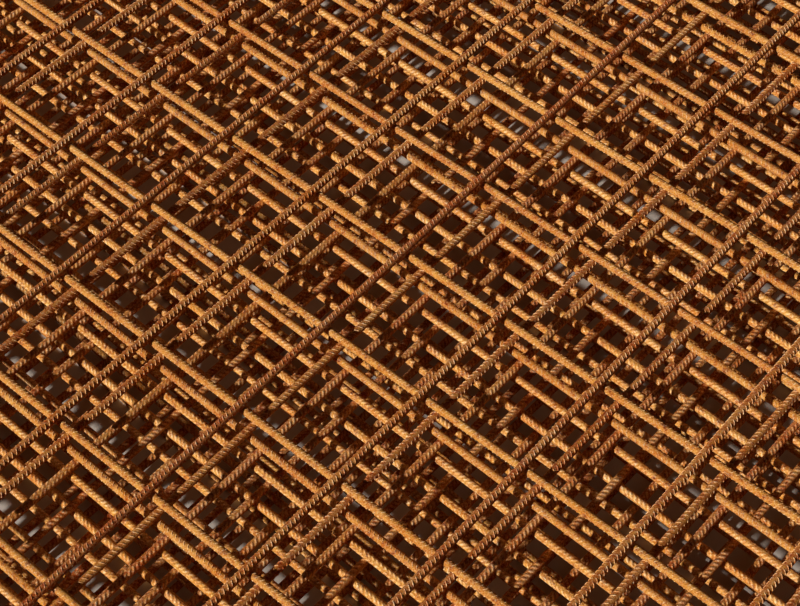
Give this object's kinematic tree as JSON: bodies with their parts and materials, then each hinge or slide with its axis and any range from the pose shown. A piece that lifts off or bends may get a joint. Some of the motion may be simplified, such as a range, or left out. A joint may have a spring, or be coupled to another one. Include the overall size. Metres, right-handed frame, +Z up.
{
  "type": "stack of rebar mats",
  "caption": "Stack of rusty welded rebar mats, square grids of ribbed bars lying flat on one another, each a little out of line.",
  "frame": {"origin": "on the ground, under the middle long bar of the bottom mat", "axes": "+X along the long bars of the bottom mat, +Y along its cross bars, +Z up"},
  "size_m": [3.2441, 2.2306, 0.18],
  "materials": {
    "rusty_bar": "weathered, evenly rusted, matt"
  },
  "bodies": {
    "root": {"mat_1": "rusty_bar", "mat_2": "rusty_bar", "mat_3": "rusty_bar", "mat_4": "rusty_bar", "mat_5": "rusty_bar", "mat_6": "rusty_bar", "mat_7": "rusty_bar", "mat_8": "rusty_bar", "mat_9": "rusty_bar"}
  },
  "joints": []
}
